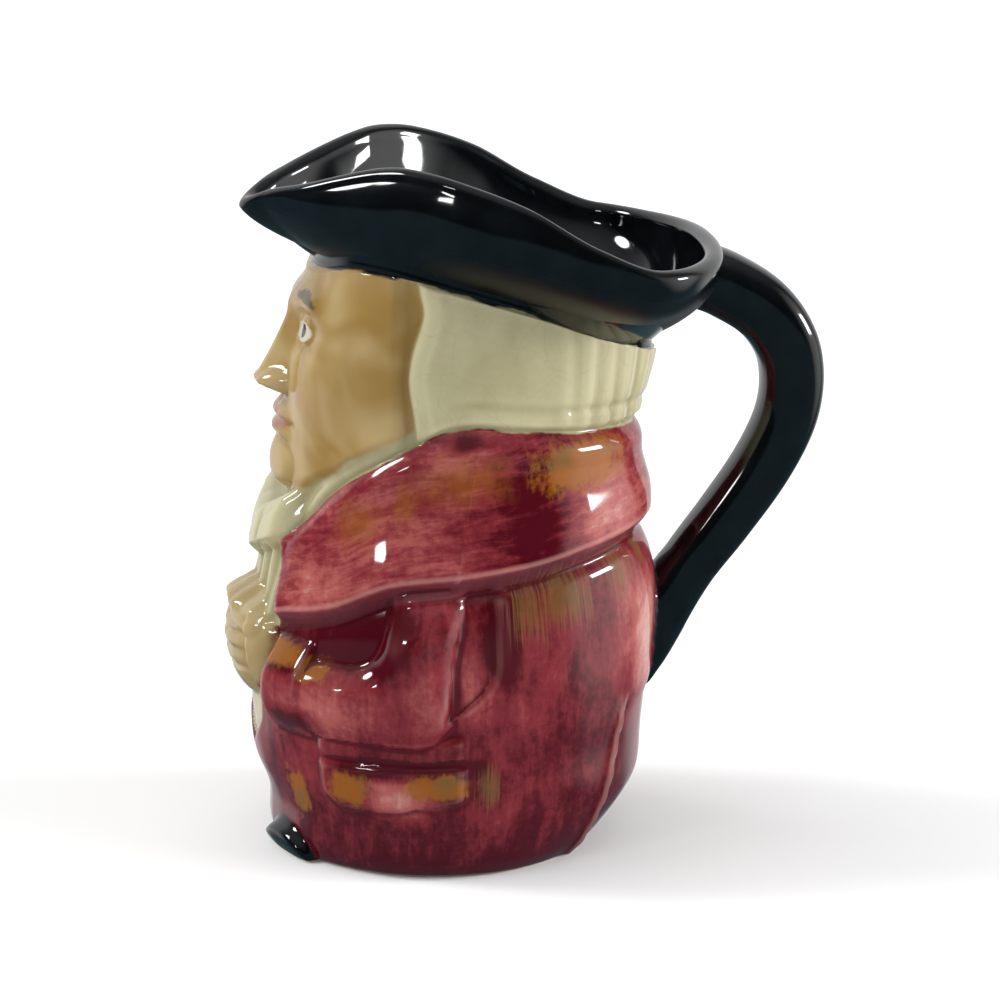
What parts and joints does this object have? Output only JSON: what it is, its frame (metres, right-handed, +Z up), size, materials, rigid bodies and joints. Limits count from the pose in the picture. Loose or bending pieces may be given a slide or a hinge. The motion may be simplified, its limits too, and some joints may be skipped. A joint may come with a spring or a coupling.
{
  "type": "toby jug",
  "caption": "Hollow glazed earthenware jug in the form of a seated-looking stout figure whose open three-cornered hat is the pouring mouth, with a loop handle behind.",
  "frame": {"origin": "centre of the flat underside, on the standing plane", "axes": "+Z up, -Y the way the figure faces, +X the figure's left, +Y toward the handle"},
  "size_m": [0.0794, 0.1128, 0.1299],
  "materials": {
    "glazed_earthenware": "glossy clear glaze over hand-painted colours: black hat and handle, cream wig and neckcloth, flesh face and hands, brushed maroon coat with ochre touches"
  },
  "bodies": {
    "root": {"toby_jug": "glazed_earthenware"}
  },
  "joints": []
}
